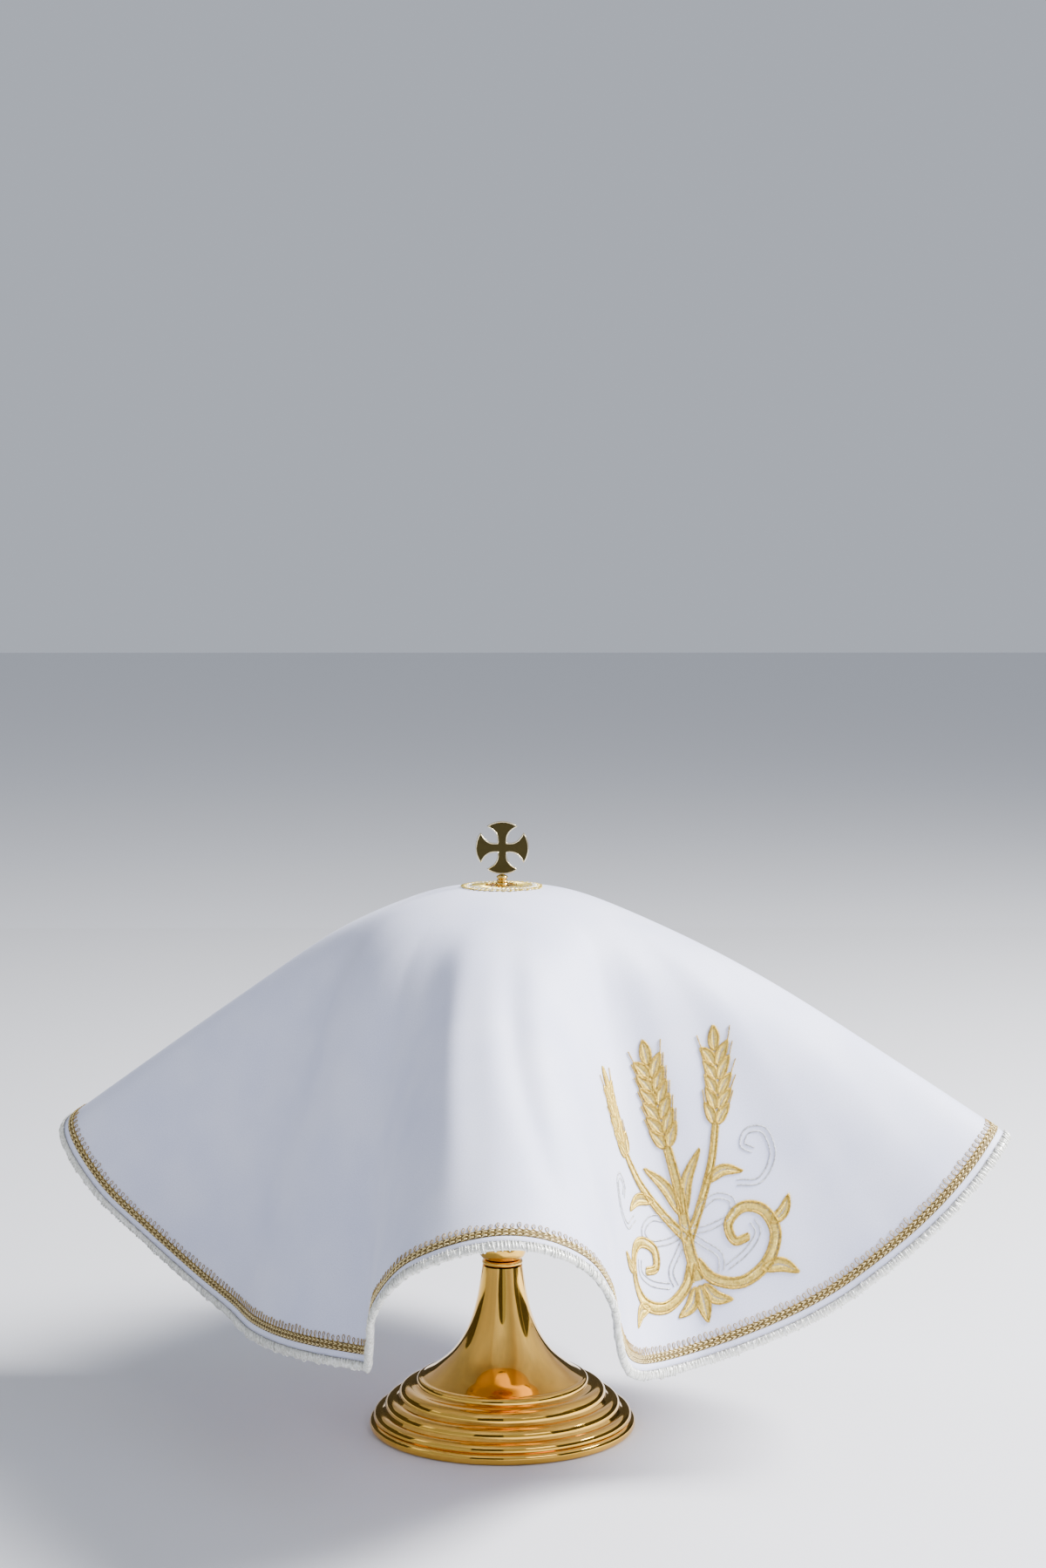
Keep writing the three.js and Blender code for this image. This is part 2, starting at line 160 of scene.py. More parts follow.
def closed_curve(points, samples):
    """A closed centripetal Catmull-Rom curve through points, with samples for each stretch."""
    p0 = np.roll(points, 1, axis=0)
    p1 = points
    p2 = np.roll(points, -1, axis=0)
    p3 = np.roll(points, -2, axis=0)

    def root(a, b):
        return np.maximum(((a - b) ** 2).sum(1, keepdims=True) ** 0.25, 1e-4)

    d0, d1, d2 = root(p0, p1), root(p1, p2), root(p2, p3)
    t1 = ((p1 - p0) / d0 - (p2 - p0) / (d0 + d1) + (p2 - p1) / d1) * d1
    t2 = ((p2 - p1) / d1 - (p3 - p1) / (d1 + d2) + (p3 - p2) / d2) * d1
    rows = []
    for t in np.arange(samples) / samples:
        cubic = (2 * t ** 3 - 3 * t ** 2 + 1) * p1 + (t ** 3 - 2 * t ** 2 + t) * t1
        cubic = cubic + (3 * t ** 2 - 2 * t ** 3) * p2 + (t ** 3 - t ** 2) * t2
        rows.append(cubic)
    return np.stack(rows, axis=1).reshape(-1, points.shape[1])


def drape_grid():
    """Every column and millimetre of the draped cloth's middle layer, without its creases."""
    azimuth, reach, bend = np.array([row for _, fold in HEM_FOLDS for row in fold], float).T
    azimuth = np.radians(azimuth)
    plan = np.column_stack([reach * np.sin(azimuth), -reach * np.cos(azimuth), bend])
    plan = closed_curve(plan, HEM_SAMPLES)
    plan = np.vstack([plan, plan[:1]])
    far = np.hypot(plan[:, 0], plan[:, 1])
    height = VEIL_TOP - settle(far, plan[:, 2], np.zeros(len(plan)))[1][:, -1]
    walk = np.column_stack([plan[:, :2], height])
    steps = np.linalg.norm(np.diff(walk, axis=0), axis=1)
    length = np.concatenate([[0], np.cumsum(steps)])
    angle = np.unwrap(np.arctan2(plan[:, 0], -plan[:, 1]))
    share = np.arange(GRID_COLUMNS) / GRID_COLUMNS
    want = share * length[-1]
    lid = share * TAU + math.radians(LID_TURN)
    x = np.interp(want, length, plan[:, 0])
    y = np.interp(want, length, plan[:, 1])
    twist = np.interp(want, length, angle) - lid
    rho, drop = settle(np.hypot(x, y), np.interp(want, length, plan[:, 2]), twist)
    radii = np.arange(VEIL_RADIUS + 1)
    travel = np.maximum(0, (radii - TWIST_START) / (VEIL_RADIUS - TWIST_START))
    turn = lid[:, None] + twist[:, None] * travel[None, :]
    points = np.stack([rho * np.sin(turn), -rho * np.cos(turn), VEIL_TOP - drop], axis=-1)
    step = points[:, -1:] - points[:, -2:-1]
    beyond = points[:, -1:] + step * np.arange(1, GRID_OVERHANG + 1)[None, :, None]
    return np.concatenate([points, beyond], axis=1)


def grid_normals(grid):
    """Which way the cloth's upper face looks at each place of the grid."""
    around = np.roll(grid, -1, axis=0) - np.roll(grid, 1, axis=0)
    along = np.gradient(grid, axis=1)
    normal = np.cross(along, around)
    size = np.linalg.norm(normal, axis=-1, keepdims=True)
    normal = normal / np.maximum(size, 1e-9)
    normal[:, 0] = (0, 0, 1)
    return normal


def crease_relief(grid):
    """How far the creases lift each place of the grid along its normal."""
    turn = np.degrees(np.arange(len(grid)) / len(grid) * TAU)[:, None]
    radius = np.arange(grid.shape[1])[None, :]
    relief = np.zeros(grid.shape[:2])
    for row in CREASES:
        crease = dict(zip(CREASE_COLUMNS, row))
        span = crease["outer"] - crease["inner"]
        line = crease["turn"] + crease["drift"] * (radius - crease["inner"]) / span
        away = (turn - line + 180) % 360 - 180
        wander = WANDER * np.sin(radius / WANDER_LENGTH + crease["turn"])
        across = np.radians(away) * radius + wander
        middle = (crease["inner"] + crease["outer"]) / 2
        half = span / 2
        fade = smooth(FADE_START - np.abs(radius - middle) / half)
        relief += crease["depth"] * np.exp(-(across / crease["width"]) ** 2) * fade
    return relief


class Drape:
    """The creased cloth's middle layer, read at any turn and radius of the flat cloth."""

    def __init__(self):
        grid = drape_grid()
        relief = crease_relief(grid)
        self.points = grid + grid_normals(grid) * relief[..., None]
        self.normals = grid_normals(self.points)

    def read(self, layer, turn, radius):
        turn, radius = np.broadcast_arrays(np.asarray(turn, float), np.asarray(radius, float))
        column = (turn / TAU * GRID_COLUMNS) % GRID_COLUMNS
        ring = np.clip(radius, 0, layer.shape[1] - 1.001)
        i = column.astype(int) % GRID_COLUMNS
        j = ring.astype(int)
        a = (column - np.floor(column))[..., None]
        b = (ring - j)[..., None]
        k = (i + 1) % GRID_COLUMNS
        near = layer[i, j] * (1 - a) + layer[k, j] * a
        far = layer[i, j + 1] * (1 - a) + layer[k, j + 1] * a
        return near * (1 - b) + far * b

    def normal(self, turn, radius):
        normal = self.read(self.normals, turn, radius)
        return normal / np.linalg.norm(normal, axis=-1, keepdims=True)

    def place(self, turn, radius, height):
        lift = np.asarray(height, float)[..., None]
        return self.read(self.points, turn, radius) + self.normal(turn, radius) * lift


drape = Drape()
OUTER_FACE = CLOTH_THICKNESS / 2


def new_piece(name, shape, material, sharp=None):
    """Makes a mesh piece from points in millimetres and faces, and lets it ride on the frame.
    Edges steeper than sharp degrees stay crisp."""
    points, faces = shape
    mesh = bpy.data.meshes.new(name)
    mesh.from_pydata((np.asarray(points, float) * MM).tolist(), [], faces)
    mesh.validate()
    mesh.polygons.foreach_set("use_smooth", np.ones(len(mesh.polygons), bool))
    if sharp:
        mesh.set_sharp_from_angle(angle=math.radians(sharp))
    mesh.materials.append(material)
    mesh.update()
    piece = bpy.data.objects.new(name, mesh)
    bpy.context.scene.collection.objects.link(piece)
    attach(piece, "root")
    return piece


STRAND_SIDES = 6


def strands(paths, up, half_width, half_height, sides=STRAND_SIDES, closed=False):
    """Thread-like tubes. paths is (strands, steps, 3); up points away from the cloth there.
    Returns points and faces. A closed strand joins its last step to its first."""
    paths = np.asarray(paths, float)
    count, steps = paths.shape[:2]
    if closed:
        tangent = np.roll(paths, -1, axis=1) - np.roll(paths, 1, axis=1)
    else:
        tangent = np.gradient(paths, axis=1)
    tangent /= np.maximum(np.linalg.norm(tangent, axis=-1, keepdims=True), 1e-9)
    side = np.cross(tangent, up)
    side /= np.maximum(np.linalg.norm(side, axis=-1, keepdims=True), 1e-9)
    rise = np.cross(side, tangent)
    wide = np.broadcast_to(half_width, (count, steps))[..., None, None]
    tall = np.broadcast_to(half_height, (count, steps))[..., None, None]
    angle = np.arange(sides) / sides * TAU
    ring = side[:, :, None] * np.cos(angle)[None, None, :, None] * wide
    ring = ring + rise[:, :, None] * np.sin(angle)[None, None, :, None] * tall
    points = (paths[:, :, None] + ring).reshape(-1, 3)
    spans = steps if closed else steps - 1
    strand = np.arange(count)[:, None, None] * steps * sides
    step = np.arange(spans)[None, :, None]
    spoke = np.arange(sides)[None, None, :]
    after = (step + 1) % steps
    turn = (spoke + 1) % sides
    a = strand + step * sides + spoke
    b = strand + step * sides + turn
    c = strand + after * sides + turn
    d = strand + after * sides + spoke
    faces = np.stack([d, c, b, a], axis=-1).reshape(-1, 4).tolist()
    if not closed:
        first = np.arange(count)[:, None] * steps * sides
        last = first + (steps - 1) * sides
        faces += (first + np.arange(sides)).tolist() + (last + np.arange(sides)[::-1]).tolist()
    return points, faces


STITCH_TIP = 0.25
STITCH_STEPS = 5


def bead_profile(steps):
    """Thickness along a short stitch: thin where it dives into the cloth, full between."""
    t = np.linspace(0, 1, steps)
    return STITCH_TIP + (1 - STITCH_TIP) * np.sqrt(np.clip(1 - (2 * t - 1) ** 2, 0, 1))


def stitches(start, end, width, rise, height, steps=STITCH_STEPS, sides=STRAND_SIDES):
    """Short stitches lying on the cloth from start to end, each a row of (turn, radius)."""
    t = np.linspace(0, 1, steps)[None, :]
    start, end = np.asarray(start, float), np.asarray(end, float)
    turn = start[:, :1] * (1 - t) + end[:, :1] * t
    radius = start[:, 1:] * (1 - t) + end[:, 1:] * t
    profile = bead_profile(steps)[None, :]
    lift = OUTER_FACE + height + rise * (profile - 1)
    paths = drape.place(turn, radius, lift)
    up = drape.normal(turn, radius)
    wide = np.broadcast_to(np.asarray(width, float).reshape(-1, 1) / 2, (len(start), 1))
    return strands(paths, up, wide * profile, rise * profile, sides)


def joined(parts):
    """One list of points and faces from several."""
    points = []
    faces = []
    base = 0
    for some_points, some_faces in parts:
        points.append(some_points)
        faces += [[v + base for v in face] for face in some_faces]
        base += len(some_points)
    return np.vstack(points), faces


def cloth_band(loop, columns):
    """A closed ring of the cloth: a loop of (radius, height) carried round the veil."""
    turn = (np.arange(columns) / columns * TAU)[:, None]
    radius = np.array([p[0] for p in loop], float)[None, :]
    height = np.array([p[1] for p in loop], float)[None, :]
    turn, radius, height = np.broadcast_arrays(turn, radius, height)
    points = drape.place(turn, radius, height).reshape(-1, 3)
    size = len(loop)
    i = np.arange(columns)[:, None]
    j = np.arange(size)[None, :]
    after = (i + 1) % columns
    turned = (j + 1) % size
    quads = [i * size + j, i * size + turned, after * size + turned, after * size + j]
    faces = np.stack(np.broadcast_arrays(*quads), axis=-1).reshape(-1, 4).tolist()
    return points, faces


def node_tree(name):
    """A new material, its node tree and its shader."""
    material = bpy.data.materials.new(name)
    material.use_nodes = True
    tree = material.node_tree
    return material, tree, tree.nodes["Principled BSDF"]


def set_inputs(node, values):
    """Sets the inputs of a node, given by their names."""
    for name, value in values.items():
        node.inputs[name].default_value = value


def link_noise(tree, vector, scale, detail, roughness):
    """A noise that reads its places from vector."""
    noise = tree.nodes.new("ShaderNodeTexNoise")
    set_inputs(noise, {"Scale": scale, "Detail": detail, "Roughness": roughness})
    tree.links.new(vector, noise.inputs["Vector"])
    return noise


def object_coordinates(tree):
    return tree.nodes.new("ShaderNodeTexCoord").outputs["Object"]


def flat_coordinates(tree, stretch=(1, 1, 1)):
    """Places on the flat cloth, in metres, which the mesh keeps as an attribute."""
    source = tree.nodes.new("ShaderNodeAttribute")
    source.attribute_name = "flat_place"
    mapping = tree.nodes.new("ShaderNodeMapping")
    mapping.inputs["Scale"].default_value = stretch
    tree.links.new(source.outputs["Vector"], mapping.inputs["Vector"])
    return mapping.outputs["Vector"]


def ramp(tree, value, stops):
    """Colours for a value, from a row of (position, colour)."""
    node = tree.nodes.new("ShaderNodeValToRGB")
    elements = node.color_ramp.elements
    while len(elements) < len(stops):
        elements.new(0.5)
    for element, (position, colour) in zip(elements, stops):
        element.position = position
        element.color = (*colour, 1)
    tree.links.new(value, node.inputs["Fac"])
    return node.outputs["Color"]


def bump(tree, height, strength, distance, normal=None):
    node = tree.nodes.new("ShaderNodeBump")
    set_inputs(node, {"Strength": strength, "Distance": distance})
    tree.links.new(height, node.inputs["Height"])
    if normal is not None:
        tree.links.new(normal, node.inputs["Normal"])
    return node.outputs["Normal"]


SATIN_TINT = [(0.3, (0.70, 0.73, 0.92)), (0.7, (0.80, 0.82, 0.98))]
SATIN_SPECKLE = [(0.3, (0.86, 0.86, 0.88)), (0.68, (1, 1, 1))]
SATIN_FINISH = {
    "Roughness": 0.52,
    "Specular IOR Level": 0.35,
    "Sheen Weight": 0.25,
    "Sheen Roughness": 0.4,
    "Sheen Tint": (0.9, 0.9, 1, 1),
}
GRAIN_STRETCH = 3.2
SPECKLE_STRETCH = 1.8
GRAIN_DEPTH = 0.00012


def satin_material():
    """White satin: fine crosswise grain, a soft sheen, a trace of lilac in its white."""
    material, tree, shader = node_tree("satin_white")
    crosswise = flat_coordinates(tree, (1, GRAIN_STRETCH, 1))
    lengthwise = flat_coordinates(tree, (GRAIN_STRETCH, 1, 1))
    weft = link_noise(tree, crosswise, scale=2600, detail=2, roughness=0.6)
    warp = link_noise(tree, lengthwise, scale=1500, detail=2, roughness=0.6)
    cloud = link_noise(tree, flat_coordinates(tree), scale=26, detail=2, roughness=0.5)
    tint = ramp(tree, cloud.outputs["Fac"], SATIN_TINT)
    fleck = flat_coordinates(tree, (1, SPECKLE_STRETCH, 1))
    speckle = link_noise(tree, fleck, scale=1300, detail=2, roughness=0.7)
    grain = ramp(tree, speckle.outputs["Fac"], SATIN_SPECKLE)
    mix = tree.nodes.new("ShaderNodeMix")
    mix.data_type = "RGBA"
    mix.blend_type = "MULTIPLY"
    mix.inputs["Factor"].default_value = 1
    tree.links.new(tint, mix.inputs["A"])
    tree.links.new(grain, mix.inputs["B"])
    tree.links.new(mix.outputs["Result"], shader.inputs["Base Color"])
    set_inputs(shader, SATIN_FINISH)
    normal = bump(tree, weft.outputs["Fac"], 0.35, GRAIN_DEPTH)
    normal = bump(tree, warp.outputs["Fac"], 0.25, GRAIN_DEPTH, normal)
    tree.links.new(normal, shader.inputs["Normal"])
    return material


# Flecks on the metallic threads: random tone mixed with painted glints and shade.
FLECK_SCALE = 900
TONE_AND_GLINT_STOPS = (0.32, 0.62)
TWIST_SCALE = 2.4
TWIST_STRENGTH = 0.5
TWIST_DEPTH = 0.0002


def thread_material(name, dark, light, metallic, roughness, scale=FLECK_SCALE):
    """Metallic thread: flecks of light and dark, partly its own uneven tone and partly painted
    glints and shade of its twisted metal, with a fine twist in its surface.
    """
    material, tree, shader = node_tree(name)
    place = object_coordinates(tree)
    fleck = link_noise(tree, place, scale, detail=3, roughness=0.7)
    colour = ramp(tree, fleck.outputs["Fac"], list(zip(TONE_AND_GLINT_STOPS, (dark, light))))
    tree.links.new(colour, shader.inputs["Base Color"])
    set_inputs(shader, {"Metallic": metallic, "Roughness": roughness})
    twist = link_noise(tree, place, scale * TWIST_SCALE, detail=1, roughness=0.5)
    normal = bump(tree, twist.outputs["Fac"], TWIST_STRENGTH, TWIST_DEPTH)
    tree.links.new(normal, shader.inputs["Normal"])
    return material


HAZE_STOPS = (0.35, 0.75)
HAZE_RANGE = (0.3, 0.8)
HAZE_ROUGHER = 1.9
RIPPLE = 0.00002
CROSS_FACE_RIPPLE = 0.00008
RIPPLE_STRENGTH = 0.4


def gilt_material(name, base, worn, roughness, ripple=RIPPLE):
    """Polished gilt with faint ripples and hazy places from handling."""
    material, tree, shader = node_tree(name)
    place = object_coordinates(tree)
    haze = link_noise(tree, place, scale=38, detail=4, roughness=0.6)
    colour = ramp(tree, haze.outputs["Fac"], list(zip(HAZE_STOPS, (base, worn))))
    tree.links.new(colour, shader.inputs["Base Color"])
    shader.inputs["Metallic"].default_value = 1
    spread = tree.nodes.new("ShaderNodeMapRange")
    set_inputs(spread, {"From Min": HAZE_RANGE[0], "From Max": HAZE_RANGE[1]})
    set_inputs(spread, {"To Min": roughness, "To Max": roughness * HAZE_ROUGHER})
    tree.links.new(haze.outputs["Fac"], spread.inputs["Value"])
    tree.links.new(spread.outputs["Result"], shader.inputs["Roughness"])
    wave = link_noise(tree, place, scale=60, detail=2, roughness=0.5)
    normal = bump(tree, wave.outputs["Fac"], RIPPLE_STRENGTH, ripple)
    tree.links.new(normal, shader.inputs["Normal"])
    return material


SATIN = satin_material()
LUREX = thread_material(
    "lurex_white", (0.62, 0.62, 0.54), (1, 1, 0.96), metallic=0.2, roughness=0.28
)
GOLD_THREAD = thread_material(
    "gold_thread_bright", (0.24, 0.14, 0.008), (0.82, 0.57, 0.09), metallic=0.6, roughness=0.28
)
GOLD_FILL = thread_material(
    "gold_thread_fill", (0.5, 0.34, 0.045), (0.96, 0.75, 0.19), metallic=0.5, roughness=0.32
)
# Near-black ground of the hem braid: painted shade between its chain rows.
BRAID_PAINTED_SHADE = thread_material(
    "braid_ground_painted_shade", (0.05, 0.03, 0.006), (0.2, 0.13, 0.03), metallic=0.3, roughness=0.6
)
GOLD_BRAID = thread_material(
    "gold_thread_braid", (0.4, 0.28, 0.07), (1, 0.82, 0.42), metallic=0.45, roughness=0.3, scale=1400
)
GOLD_FINE = thread_material(
    "gold_thread_fine", (0.18, 0.11, 0.02), (0.54, 0.36, 0.09), metallic=0.4, roughness=0.42
)
SILVER_THREAD = thread_material(
    "silver_thread", (0.28, 0.28, 0.29), (0.8, 0.8, 0.8), metallic=0.6, roughness=0.33
)
# A grey thread that paints the shadow line along the edging's inner side.
PAINTED_SHADOW_THREAD = thread_material(
    "painted_shadow_thread", (0.2, 0.19, 0.18), (0.42, 0.41, 0.39), metallic=0.2, roughness=0.5
)
GILT = gilt_material("gilt_polished", (0.82, 0.48, 0.075), (0.74, 0.42, 0.06), roughness=0.05)
# Near-black gilt for the cross plate: painted dark reflections on its flat faces.
DARK_REFLECTION_GILT = gilt_material(
    "gilt_painted_dark_reflection", (0.085, 0.066, 0.022), (0.045, 0.036, 0.014), roughness=0.3, ripple=CROSS_FACE_RIPPLE
)
# A lighter, yellower copy of the gilt for the finial: painted highlights.
FINIAL_HIGHLIGHT_GILT = gilt_material("gilt_painted_finial_highlights", (0.93, 0.72, 0.25), (0.86, 0.64, 0.2), roughness=0.08)
# Pale gilt for the bead round the cross's edge: painted edge highlights.
EDGE_HIGHLIGHT_GILT = gilt_material("gilt_painted_edge_highlight", (0.95, 0.84, 0.56), (0.9, 0.78, 0.5), roughness=0.16)


CLOTH_COLUMNS = 560
CLOTH_RINGS = 82
HEM_TUCK = 0.4


def veil_satin():
    """The satin disc, draped, with both faces and the edges at its hole and hem."""
    edge = VEIL_RADIUS - EDGING_WIDTH + HEM_TUCK
    share = np.linspace(0, 1, CLOTH_RINGS)
    rings = HOLE_RADIUS + (edge - HOLE_RADIUS) * share
    loop = [(r, OUTER_FACE) for r in rings] + [(r, -OUTER_FACE) for r in rings[::-1]]
    piece = new_piece("veil_satin", cloth_band(loop, CLOTH_COLUMNS), SATIN)
    turn = np.repeat(np.arange(CLOTH_COLUMNS) / CLOTH_COLUMNS * TAU, len(loop))
    radius = np.tile([r for r, _ in loop], CLOTH_COLUMNS) * MM
    flat = np.column_stack([radius * np.sin(turn), -radius * np.cos(turn), 0 * turn])
    layer = piece.data.attributes.new("flat_place", "FLOAT_VECTOR", "POINT")
    layer.data.foreach_set("vector", flat.astype(np.float32).ravel())
    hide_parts("veil_cloth")
    return piece


# The overlocked edge: a soft core, given as radius from its middle and height, which slanted
# loops of thread wrap, and how much the loops vary.
EDGING_MIDDLE = VEIL_RADIUS - EDGING_WIDTH / 2
EDGING_CORE = [(-1.9, 0.95), (0, 1.15), (1.5, 0.5), (1.5, -0.5), (0, -1.15), (-1.9, -0.95)]
BAND_COLUMNS = 720
LOOPS = {
    "count": 1150,
    "steps": 9,
    "wrap": 1.15,
    "root": -1.3,
    "heart": -0.6,
    "reach": 3.0,
    "rise": 1.42,
    "lean": 1.1,
    "half_width": 0.36,
    "half_height": 0.24,
}
LOOP_VARIES = {"root": 0.2, "lean": 0.9, "reach": 0.13, "rise": 0.1}
LOOP_ROOT_LIMITS = (-0.4, 0.3)
LOOP_REACH_LIMITS = (0.6, 1.17)
FINE_SIDES = 5

# The thin grey thread along the edging's inner side, which paints the shadow line where the edging
# steps down to the cloth.
SHADE_STEPS = 900
SHADE_INSET = 0.25
SHADE_WOBBLE = 0.06
SHADE_LIFT = 0.12
SHADE_SECTION = (0.22, 0.2)

# Chain stitches: shares of a row's width, and the stitch's rise and top over the cloth.
CHAIN_SPREAD = 0.42
CHAIN_LEAN = 0.55
CHAIN_STITCH = 0.27
CHAIN_RISE = 0.3
CHAIN_TOP = 0.42
CHAIN_WOBBLE = 0.05

# Picot loops: how far a loop swells along the braid, how much its reach varies, and how high
# the thread lies, in diameters, with what it gains where it crosses itself. A row of picots is
# given by its root's and tip's radius, its number of loops and its thread's diameter.
PICOT_SAMPLES = 14
PICOT_SPREAD = 0.48
PICOT_VARIES = 0.12
PICOT_LIFT = 0.6
PICOT_CROSSING = 0.5

# The braid inside the hem.
GROUND_EDGE = 0.78
HEM_GROUND_TOP = 1.02
HEM_GROUND_BEVEL = 0.3
HEM_ROW_INSET = 0.95
HEM_ROW = {"links": 600, "link_length": 0.92, "width": 1.8}
HEM_BRAID_OUTER = VEIL_RADIUS - BRAID_INSET
HEM_BRAID_INNER = HEM_BRAID_OUTER - BRAID_WIDTH
HEM_PICOTS = (HEM_BRAID_INNER + 0.2, HEM_BRAID_INNER - 2.9, 560, 0.34)

# The braid round the hole: its ground as (radius, height), its rows' radii and its picots.
HOLE_GROUND = [
    (HOLE_RADIUS, GROUND_EDGE),
    (HOLE_RADIUS + 0.4, 1.1),
    (HOLE_BRAID_RADIUS - 2, 1.1),
    (HOLE_BRAID_RADIUS - 1.6, GROUND_EDGE),
]
HOLE_COLUMNS = 120
HOLE_ROWS = (HOLE_RADIUS + 1.3, HOLE_RADIUS + 3)
HOLE_ROW = {"links": 44, "link_length": 1.3, "width": 1.7}
HOLE_GOLD_PICOTS = [
    (HOLE_BRAID_RADIUS - 2.4, HOLE_BRAID_RADIUS, 40, 0.6),
    (HOLE_RADIUS + 1.3, HOLE_RADIUS - 4.8, 37, 0.7),
]
HOLE_PALE_PICOTS = [
    (HOLE_RADIUS + 2, HOLE_RADIUS - 2.8, 43, 0.6),
    (HOLE_BRAID_RADIUS - 3.4, HOLE_BRAID_RADIUS - 0.9, 52, 0.5),
]


def edging():
    """The overlocked edge: a soft core along the hem, wrapped by slanted metallic loops."""
    core = cloth_band([(EDGING_MIDDLE + r, h) for r, h in EDGING_CORE], BAND_COLUMNS)
    count = LOOPS["count"]
    t = np.linspace(0, 1, LOOPS["steps"])[None, :]
    start = (np.arange(count) / count * TAU)[:, None]
    shift = np.clip(random.normal(0, LOOP_VARIES["root"], (count, 1)), *LOOP_ROOT_LIMITS)
    lean = (LOOPS["lean"] + random.normal(0, LOOP_VARIES["lean"], (count, 1))) / VEIL_RADIUS
    swing = (t - 0.5) * LOOPS["wrap"] * math.pi
    reach = np.clip(1 + random.normal(0, LOOP_VARIES["reach"], (count, 1)), *LOOP_REACH_LIMITS)
    radius = EDGING_MIDDLE + LOOPS["root"] + LOOPS["reach"] * np.cos(swing) * reach + shift
    rise = 1 + random.normal(0, LOOP_VARIES["rise"], (count, 1))
    height = -LOOPS["rise"] * np.sin(swing) * rise
    turn = start + lean * (t - 0.5)
    paths = drape.place(turn, radius, height)
    heart = drape.place(turn, EDGING_MIDDLE + LOOPS["heart"], 0)
    loops = strands(paths, paths - heart, LOOPS["half_width"], LOOPS["half_height"], FINE_SIDES)
    return joined([core, loops])


def closed_thread(turn, radius, height, section):
    """A fine thread round the veil, its end joined to its start."""
    path = drape.place(turn, radius, height)[None]
    up = drape.normal(turn, radius)[None]
    return strands(path, up, *section, FINE_SIDES, closed=True)


def paint_shadow_line():
    """The thin grey thread of painted shadow along the edging's inner side."""
    turn = np.arange(SHADE_STEPS) / SHADE_STEPS * TAU
    wobble = SHADE_WOBBLE * random.normal(0, 1, SHADE_STEPS)
    radius = VEIL_RADIUS - EDGING_WIDTH - SHADE_INSET + wobble
    thread = closed_thread(turn, radius, OUTER_FACE + SHADE_LIFT, SHADE_SECTION)
    new_piece("hem_edging_painted_shadow", thread, PAINTED_SHADOW_THREAD)


def chain_row(radius, links, link_length, width):
    """A row of chain stitches round the cloth: each link is two slanted stitches."""
    turn = np.arange(links) / links * TAU
    length = TAU / links * link_length
    parts = []
    for side in (-1, 1):
        wobble = random.normal(0, CHAIN_WOBBLE, links)
        outside = radius + side * width * CHAIN_SPREAD + wobble
        inside = radius + side * width * (CHAIN_SPREAD - CHAIN_LEAN) + wobble
        start = np.column_stack([turn, outside])
        end = np.column_stack([turn + length, inside])
        parts.append(stitches(start, end, width * CHAIN_STITCH, CHAIN_RISE, CHAIN_TOP))
    return joined(parts)


def picots(root, tip, loops, diameter):
    """A fine thread that makes one small loop after another beside a braid."""
    s = np.arange(loops * PICOT_SAMPLES) / PICOT_SAMPLES
    phase = s * TAU
    turn = (s + PICOT_SPREAD * np.sin(phase)) * TAU / loops
    swing = (1 - np.cos(phase)) / 2
    ragged = 1 + PICOT_VARIES * np.repeat(random.normal(0, 1, loops), PICOT_SAMPLES)
    radius = root + (tip - root) * swing * ragged
    lift = OUTER_FACE + diameter * (PICOT_LIFT + PICOT_CROSSING * (np.sin(phase) > 0))
    return closed_thread(turn, radius, lift, (diameter / 2, diameter / 2))


def hem_braid():
    """Two rows of chain stitches on a near-black ground that paints the shade between them, with
    picots on the side of the hole.
    """
    inner, outer = HEM_BRAID_INNER, HEM_BRAID_OUTER
    ground = [
        (inner, GROUND_EDGE),
        (inner + HEM_GROUND_BEVEL, HEM_GROUND_TOP),
        (outer - HEM_GROUND_BEVEL, HEM_GROUND_TOP),
        (outer, GROUND_EDGE),
    ]
    new_piece("hem_braid_painted_shade_ground", cloth_band(ground, BAND_COLUMNS), BRAID_PAINTED_SHADE)
    for name, radius in (("inner", inner + HEM_ROW_INSET), ("outer", outer - HEM_ROW_INSET)):
        links = chain_row(radius, **HEM_ROW)
        row = new_piece(f"hem_braid_{name}_row", links, GOLD_BRAID)
        if name == "outer":
            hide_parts("hem_braid")
    new_piece("hem_braid_picots", picots(*HEM_PICOTS), GOLD_FINE)


def hole_braid():
    """Two rows of chain stitches round the hole, with gold and pale picots on both sides."""
    parts = [cloth_band(HOLE_GROUND, HOLE_COLUMNS)]
    parts += [chain_row(radius, **HOLE_ROW) for radius in HOLE_ROWS]
    parts += [picots(*row) for row in HOLE_GOLD_PICOTS]
    ring = new_piece("hole_braid_stitched", joined(parts), GOLD_FILL)
    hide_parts("hole_braid")
    pale = joined([picots(*row) for row in HOLE_PALE_PICOTS])
    new_piece("hole_braid_loops", pale, LUREX)


# The embroidered spray: where its middle lies on the flat cloth, and its stitches. A slant is
# how far a stitch runs along its line, and an awn's spread is how far it leans out. The
# tables give millimetres from that middle, to the right and towards the hole. A leaf is given
# by its base and tip, its width, and how far its middle bows sideways.
SPRAY_TURN = math.radians(48.5)
SPRAY_RADIUS = 178
CORD_WIDTH = 1.3
CORD_PITCH = 0.45
CORD_SLANT = 0.35
FILL_PITCH = 0.5
FILL_SLANT = 0.7
NEEDLE_WOBBLE = 0.05
NEEDLE_STEPS = 4
NEEDLE_SIDES = 4
LEAF_BULGE = 0.8
LEAF_ROOT_SLANT = 0.5
LEAF_EDGE_SLANT = 0.6
EAR_LEAN = math.radians(30)
EAR_OFFSET = 0.9
EAR_BOW = -0.6
AWN = {"length": 6, "forward": 0.97, "spread": 0.25, "width": 0.6}
STEM = {"path": [(0, -48), (-0.8, -30), (0.6, -10), (0, 12)], "widths": (4.8, 3.2)}
